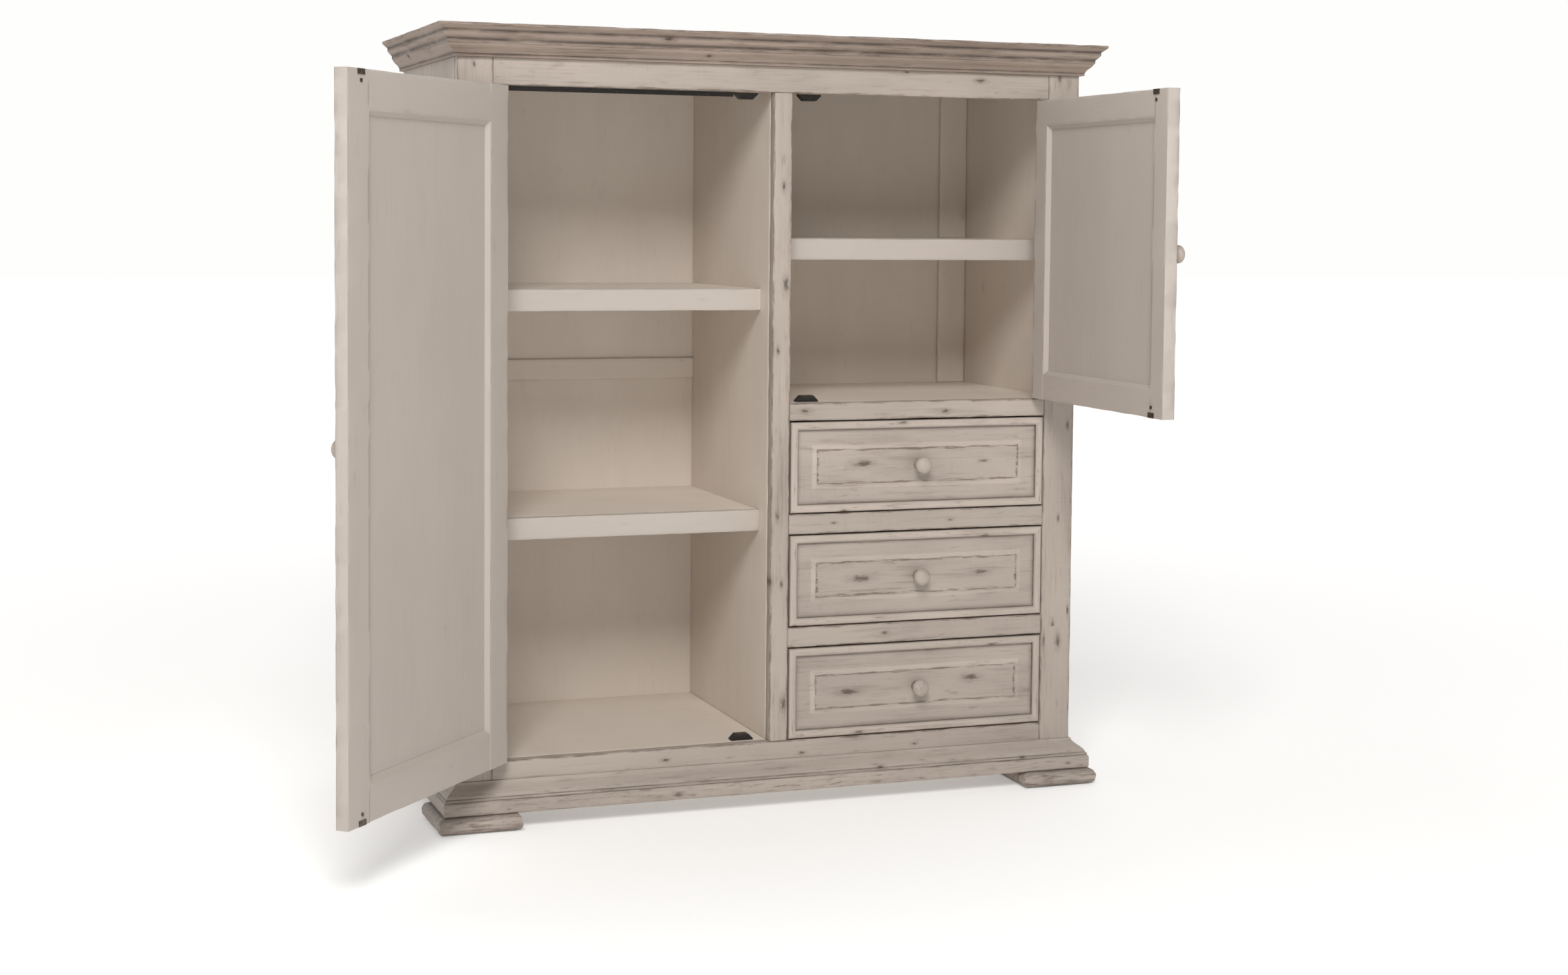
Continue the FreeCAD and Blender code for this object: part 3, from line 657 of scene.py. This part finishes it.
# ==== shelves =========================================
# Three fixed shelves, each a painted board on cleats with a deeper lip glued along its
# front to stiffen it.
lips_low, lips_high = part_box("shelf_lips")
lip_high = 0.043
shelf_lips = []
for node_name in ("shelf_left_upper", "shelf_left_lower", "shelf_right"):
    plain_board(node_name, "xyz", [painted_pine], "painted_pine", ease=0.0006)
    shelf_low, shelf_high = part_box(node_name)
    shelf_lips.append(board((shelf_low.x, lips_low.y, shelf_high.z - lip_high),
                            (shelf_high.x, lips_high.y, shelf_high.z), "xzy", ease=0.001))
make_piece("shelf_lip_set", shelf_lips, "xzy", [painted_pine_shaded_copy], "cabinet", ["shelf_lips"],
           "painted_pine")


# ==== crown ===========================================
# A stepped pine moulding round the top in three lengths, mitred at the front corners.
# It has only a thin brown-grey wash, so it is darker than the rest and its grain shows.
thin_washed_pine = pine("thin_washed_pine", "#96867a", "#726154", "#5f4e42", "#332820",
                        streaks=0.9, rubbed=0.75, wax_shading_strength=1.0, tone=0.09, rough=0.7, relief=0.9)
crown_low, crown_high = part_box("crown_front")
crown_out, crown_rise = face_y - crown_low.y, crown_high.z - crown_low.z

# A fillet, a cove and three steps: out from the body, up from the crown's foot, wear, and dark wax
# and painted shade in the recesses.
crown_line = [(0, 0.000, 0, 0.5), (0.008, 0.001, 0.6, 0), (0.008, 0.007, 0.4, 0.9)]
for n in range(9):
    t = n / 8
    crown_line.append((0.009 + 0.013 * (1 - math.cos(math.pi * t)) / 2, 0.007 + 0.018 * t,
                       0.4 if n > 5 else 0, 0.3 if n < 2 else 0))
crown_line += [(0.024, 0.0255, 0.9, 0), (0.024, 0.032, 0.6, 0.9), (0.029, 0.037, 0, 0),
               (0.033, 0.042, 0.8, 0), (0.033, 0.048, 0.5, 0.9), (0.038, 0.052, 0, 0),
               (0.0425, 0.056, 0.8, 0), (crown_out, 0.0575, 0.9, 0),
               (crown_out, crown_rise - 0.001, 0.9, 0), (crown_out - 0.001, crown_rise, 0.9, 0),
               (0, crown_rise, 0, 0)]
crown_line = [(out, crown_low.z + rise, wear, wax_shading) for out, rise, wear, wax_shading in crown_line]
crown_front, crown_left, crown_right = around_body(crown_line)
make_piece("crown_front_length", [crown_front], "xzy", [thin_washed_pine], "cabinet",
           ["crown_front"], "thin_washed_pine", spacing=0.7)
make_piece("crown_side_lengths", [crown_left, crown_right], "yzx", [thin_washed_pine], "cabinet",
           ["crown_sides"], "thin_washed_pine", spacing=0.7)


# ==== drawers =========================================
# Each drawer is a pine front with a raised middle and a round bead glued along its
# edge, a turned knob screwed on from behind, and a plain box of unfinished pine.

# Sanded pine with no finish: yellow, with brown rings and a low sheen.
bare_colours = ("#cdb083", "#b08d5f", "#9c7748", "#5c3d22")
bare_pine = pine("bare_pine", *bare_colours, streaks=0.6, rubbed=0.2, tone=0.06, rough=0.62,
                 relief=0.3)


def rectangle(across, up, inset, depth):
    """The corners of a rectangle, moved in from the outer one, on a plane at a depth."""
    return [(across[0] + inset, depth, up[0] + inset), (across[1] - inset, depth, up[0] + inset),
            (across[1] - inset, depth, up[1] - inset), (across[0] + inset, depth, up[1] - inset)]


def bead_lengths(across, up, wide, proud, front, deep):
    """Four mitred lengths of half-round bead. Across the bead, a point goes in by half its width
    less its cosine, and stands proud by the sine. Its crest is rubbed and painted pale, a painted
    highlight, and dark wax and painted shade lie where it meets the wood. deep is how far its foot
    is let in, if it is."""
    outline = [(0, front + deep, 0, 0)] if deep else []
    for n in range(13):
        angle = math.pi * n / 12
        wax_shading = {0: 0.7, 12: 1.0}.get(n, -0.9 if 2 < n < 9 else 0)
        outline.append((wide / 2 * (1 - math.cos(angle)), front - proud * math.sin(angle),
                        0.76 if 3 < n < 9 else 0.2, wax_shading))
    if deep:
        outline.append((wide, front + deep, 0, 1.0))
    ends = [[rectangle(across, up, inset, depth)[corner] for inset, depth, _, _ in outline]
            for corner in range(4)]
    wear, wax_and_painted_shading = [point[2] for point in outline], [point[3] for point in outline]
    return [moulding(ends[n], ends[(n + 1) % 4], wear, wax_and_painted_shading, worn=0.0016) for n in range(4)]


def turned_knob(x, z, base_y):
    """A turned knob: its outline, smoothed by cutting its corners twice, spun about Y. The
    outline is how wide and how far out it is, in millimetres."""
    outline = np.array([(11, 0), (11, 3), (7, 6), (6.5, 10), (12, 14), (16.5, 19), (17.5, 24),
                        (16, 29), (11, 33), (5, 35), (1, 35.4)]) / 1000
    for _ in range(2):
        near = outline[:-1] * 0.75 + outline[1:] * 0.25
        far = outline[:-1] * 0.25 + outline[1:] * 0.75
        middle = np.stack([near, far], 1).reshape(-1, 2)
        outline = np.concatenate([outline[:1], middle, outline[-1:]])
    rows, count = len(outline), 40
    turn = np.linspace(0, 2 * math.pi, count, endpoint=False)
    radius, out = outline[:, :1], outline[:, 1:]
    points = np.stack([x + radius * np.cos(turn), base_y - out + 0 * turn,
                       z + radius * np.sin(turn)], -1).reshape(-1, 3)
    caps = [list(range(count))[::-1], list(range((rows - 1) * count, rows * count))]
    # The widest part is rubbed. The ball is painted paler, a painted highlight, and the neck
    # darker, dark wax and painted shade where it meets the face.
    rub = np.clip((radius - 0.012) / 0.005, 0, 0.5) + 0 * turn
    wax_shading = np.clip((0.012 - out) / 0.010, -0.4, 0.9) + 0 * turn
    return {"points": points, "quads": ring_faces(rows, count), "caps": caps,
            "wear": rub.ravel(), "wax_and_painted_shading": wax_shading.ravel()}


# The two dark knots on each raised middle, in metres along and across.
drawer_knots = {"drawer_low": [(0.152, 0.221), (0.425, 0.236)],
                "drawer_middle": [(0.178, 0.452), (0.446, 0.455)],
                "drawer_top": [(0.180, 0.687), (0.448, 0.686)]}
bead_wide, bead_proud, pad_inset, pad_bevel = 0.016, 0.004, 0.0495, 0.0065
box_side = 0.014
for drawer, places in drawer_knots.items():
    low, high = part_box(drawer + "_front")
    across, up = (low.x, high.x), (low.z, high.z)
    field_y = low.y + bead_proud
    field_in = bead_wide - 0.001
    pad_edge = pad_inset + pad_bevel
    # The back and the edge, the flat beside the bead with dark wax and painted shade, then the
    # bevel, painted paler as a highlight, and the middle.
    steps = [(0.001, high.y, 0, 0), (0.0, high.y - 0.001, 0.5, 0), (0.0, field_y + 0.001, 0, 0.6),
             (0.0005, field_y, 0, 1), (field_in, field_y, 0, 1.0),
             (field_in + 0.004, field_y, 0, 0.25), (field_in + 0.010, field_y, 0, 0),
             (pad_inset - 0.004, field_y, 0, 0),
             (pad_inset, field_y, 0, -1.0), (pad_edge - 0.001, low.y + 0.0008, 0.4, -1.0),
             (pad_edge, low.y, 1.1, 0), (pad_edge + 0.0035, low.y, 0.9, 0),
             (pad_edge + 0.008, low.y, 0, 0)]
    make_piece(drawer + "_face", [stepped_block(across, up, steps, worn=0.0022)], "xzy",
               [whitewashed_pine], drawer, [drawer + "_front"], "whitewashed_pine",
               knots=places, knot_size=(0.022, 0.0068), spacing=None)
    bead = bead_lengths(across, up, bead_wide, bead_proud, low.y, bead_proud)
    make_piece(drawer + "_bead_level", bead[0::2], "xzy", [whitewashed_pine], drawer,
               [drawer + "_bead"], "whitewashed_pine", spacing=0.6, knot_size=(0.012, 0.004))
    make_piece(drawer + "_bead_upright", bead[1::2], "zxy", [whitewashed_pine], drawer,
               [], "whitewashed_pine", spacing=None)
    knob_low, knob_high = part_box(drawer + "_knob")
    knob = turned_knob((knob_low.x + knob_high.x) / 2, (knob_low.z + knob_high.z) / 2, knob_high.y)
    make_piece(drawer + "_pull", [knob], "yxz", [whitewashed_pine], drawer, [drawer + "_knob"],
               "whitewashed_pine", spacing=None)

    box_low, box_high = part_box(drawer + "_box")
    sides = [board((x, box_low.y, box_low.z), (x + box_side, box_high.y, box_high.z), "yzx")
             for x in (box_low.x, box_high.x - box_side)]
    make_piece(drawer + "_sides", sides, "yzx", [bare_pine], drawer, [drawer + "_box"],
               "bare_pine")
    bottom_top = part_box(drawer + "_bottom")[1].z
    back = board((box_low.x + box_side, box_high.y - box_side, bottom_top),
                 (box_high.x - box_side, box_high.y, box_high.z), "xzy")
    make_piece(drawer + "_back", [back], "xzy", [bare_pine], drawer, [], "bare_pine")
    plain_board(drawer + "_bottom", "xyz", [bare_pine], "bare_pine", drawer)


# ==== doors ===========================================
# Stile and rail doors with a panel in a groove. The outside is distressed like the
# drawers, with a raised middle and a bead. The inside is plain painted, with a bevel
# round the panel. Each is laid out shut, then swung about its hinge pins.
opening_left, opening_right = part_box("stile_left")[1].x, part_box("stile_right")[0].x
centre_low, centre_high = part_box("stile_centre")
opening_top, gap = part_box("top_rail")[0].z, 0.0025
door_thick, groove_deep, panel_thick, panel_in = 0.025, 0.009, 0.012, 0.005
door_bevel_wide, door_bevel_from = 0.008, 0.018
painted_side = ("y", face_y + 0.012, 1)     # the half of a door's thickness that is painted


def bevel_at(y):
    """How far the inner bevel has opened the frame's window at a depth."""
    share = (y - face_y - door_bevel_from) / (door_thick - door_bevel_from)
    return door_bevel_wide * np.clip(share, 0, 1)


def build_door(name, joint, shut_angle, hinge_x, free_x, bottom, frame_wide):
    """One door. hinge_x and free_x are its edges, and bottom its lower edge, when shut. A
    frame member is one outline carried straight along it, a stile's ends square and a
    rail's shaped to the stile's bevel. The panel is a stepped block."""
    across, up = sorted((hinge_x, free_x)), (bottom, opening_top - gap)
    turn = (joint["pos_m"], -math.radians(shut_angle))
    finishes = [whitewashed_pine, painted_pine_shaded_copy]
    window_x = (across[0] + frame_wide, across[1] - frame_wide)
    window_z = (up[0] + frame_wide, up[1] - frame_wide)
    eased = 0.0015

    # Half the outline of a frame member: metres out from the window's edge, depth, wear, and dark
    # wax and painted shade.
    line = [(frame_wide, eased, 1, 0), (frame_wide - eased, 0, 1, 0),
            (frame_wide - 0.007, 0, 0, 0), (0.006, 0, 0, 0), (eased, 0, 0.8, 0),
            (0, eased, 0.8, 0), (0, panel_in, 0, 1),
            (groove_deep, panel_in, 0, 0), (groove_deep, panel_in + panel_thick, 0, 0),
            (0, panel_in + panel_thick, 0, 0.5), (0, door_bevel_from, 0, 0),
            (door_bevel_wide - 0.001, door_thick - 0.0009, 0.2, 0),
            (door_bevel_wide, door_thick, 0.2, 0),
            (door_bevel_wide + 0.006, door_thick, 0, 0), (frame_wide - 0.007, door_thick, 0, 0),
            (frame_wide - eased, door_thick, 0.6, 0), (frame_wide, door_thick - eased, 0.6, 0)]
    out, depth, wear, wax_shading = np.array(line).T
    y = face_y + depth
    members = []
    for edge, outward in ((window_x[0], -1), (window_x[1], 1)):
        x = edge + outward * out
        members.append(moulding(np.stack([x, y, np.full(len(x), up[0])], -1),
                                np.stack([x, y, np.full(len(x), up[1])], -1), wear, wax_shading))
    make_piece(name + "_stiles", members, "zxy", finishes, name, [name + "_frame"],
               "whitewashed_pine", turn=turn, inside=painted_side, spacing=0.5)
    members = []
    for edge, outward in ((window_z[0], -1), (window_z[1], 1)):
        z = edge + outward * out
        members.append(moulding(np.stack([window_x[0] - bevel_at(y), y, z], -1),
                                np.stack([window_x[1] + bevel_at(y), y, z], -1), wear, wax_shading))
    make_piece(name + "_rails", members, "xzy", finishes, name, [], "whitewashed_pine", turn=turn,
               inside=painted_side, spacing=0.5)

    # The panel, from its plain inner face out to its raised middle, with dark wax and painted
    # shade where it meets the frame and a painted highlight on the bevel up to the middle.
    grown_x = (window_x[0] - groove_deep, window_x[1] + groove_deep)
    grown_z = (window_z[0] - groove_deep, window_z[1] + groove_deep)
    outer = face_y + panel_in
    panel_front = face_y + 0.001
    pad_from, pad_to = groove_deep + 0.034, groove_deep + 0.040
    steps = [(groove_deep + 0.004, outer + panel_thick, 0, 0), (0, outer + panel_thick, 0, 0),
             (0, outer, 0, 0), (groove_deep, outer, 0, 1), (groove_deep + 0.004, outer, 0, 0.2),
             (pad_from - 0.004, outer, 0, 0), (pad_from, outer, 0, -1.0),
             (pad_to - 0.001, panel_front + 0.0008, 0.4, -1.0), (pad_to, panel_front, 1.1, 0),
             (pad_to + 0.003, panel_front, 0.8, 0), (pad_to + 0.007, panel_front, 0, 0)]
    make_piece(name + "_field", [stepped_block(grown_x, grown_z, steps, step=0.016)], "zxy",
               finishes, name, [name + "_panel"], "whitewashed_pine", turn=turn,
               inside=painted_side, spacing=0.4, knot_size=(0.014, 0.006))

    inset = 0.007                           # the bead's distance in from the door's edge
    bead = bead_lengths((across[0] + inset, across[1] - inset), (up[0] + inset, up[1] - inset),
                        bead_wide, bead_proud, face_y, 0)
    make_piece(name + "_bead_level", bead[0::2], "xzy", [whitewashed_pine], name,
               [name + "_bead"], "whitewashed_pine", turn=turn, spacing=0.35)
    make_piece(name + "_bead_upright", bead[1::2], "zxy", [whitewashed_pine], name,
               [], "whitewashed_pine", turn=turn, spacing=0.35)

    knob_in = (frame_wide + inset + bead_wide) / 2
    knob_x = free_x + math.copysign(knob_in, hinge_x - free_x)
    make_piece(name + "_pull", [turned_knob(knob_x, sum(up) / 2, face_y)], "yxz",
               [whitewashed_pine], name, [name + "_knob"], "whitewashed_pine", turn=turn,
               spacing=None)


left_joint, right_joint = joints["door_left_hinge"], joints["door_right_hinge"]
build_door("door_left", left_joint, left_joint["range_deg"][1], opening_left + gap,
           centre_low.x - gap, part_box("bottom_rail")[1].z + gap, 0.078)
build_door("door_right", right_joint, right_joint["range_deg"][0], opening_right - gap,
           centre_high.x + gap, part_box("cupboard_rail")[1].z + gap, 0.060)


# ==== runners, cleats, hinges and catches =============
# Unfinished pine strips that the drawers slide on, painted cleats under the shelves,
# antiqued butt hinges, and black pressed-steel ball catches with antiqued strikes.
def steel(name, colour, worn_colour, rough, metallic):
    """Pressed steel with a finish: blotches 6 mm wide where the finish is thin or waxy,
    and a fine 0.4 mm pitting, drawn coarser than it is so that it shows."""
    material, tree, surface = new_material(name, Metallic=metallic)
    place = node(tree, "TexCoord").outputs["Object"]
    blotch = node(tree, "TexNoise", Vector=place, Scale=1 / 0.006, Detail=3.0).outputs["Fac"]
    pits = node(tree, "TexNoise", Vector=place, Scale=1 / 0.0012, Detail=2.0).outputs["Fac"]
    thin = node(tree, "MapRange", Value=blotch, From_Min=0.5, From_Max=0.75).outputs[0]
    mixed = node(tree, "Mix", {"data_type": "RGBA"}, in0=thin, in6=linear(colour),
                 in7=linear(worn_colour))
    dull = node(tree, "MapRange", Value=blotch, From_Min=0.3, From_Max=0.7, To_Min=rough - 0.08,
                To_Max=rough + 0.1)
    bump = node(tree, "Bump", Height=pits, Strength=0.25, Distance=0.0002)
    tree.links.new(mixed.outputs[2], surface.inputs["Base Color"])
    tree.links.new(dull.outputs[0], surface.inputs["Roughness"])
    tree.links.new(bump.outputs[0], surface.inputs["Normal"])
    return material


# Black electro-coat over steel: a dull sheen, brownish where it is rubbed.
black_steel = steel("black_coated_steel", "#17120e", "#3a2d22", 0.42, 0.0)
# Antiqued hinge steel: dark, with brighter rubbed spots.
hinge_steel = steel("antiqued_hinge_steel", "#5a5148", "#8c8377", 0.38, 1.0)
# The two pines again, for strips that keep their CAD shape: their pattern follows Object
# coordinates, and they have no knots or rubbed arrises.
bare_strips = pine("bare_pine_strips", *bare_colours, streaks=0.6, rubbed=0.0, rough=0.62,
                   relief=0.3, knots=0.0, coordinates="object")
painted_strips = pine("painted_pine_strips", *paint_colours, streaks=0.12, rubbed=0.0, tone=0.025,
                      rough=0.5, relief=0.1, knots=0.0, coordinates="object")
for material, names in ((bare_strips, ("drawer_runners", "catch_blocks")),
                        (painted_strips, ("shelf_cleats",)),
                        (black_steel, ("catches", "door_stop_strip")),
                        (hinge_steel, ("hinge_frame_leaves", "hinge_pins", "door_left_strikes",
                                       "door_right_strikes", "door_left_hinge_leaves",
                                       "door_right_hinge_leaves"))):
    for name in names:
        for slot in frame["nodes"][name].material_slots:
            slot.material = material
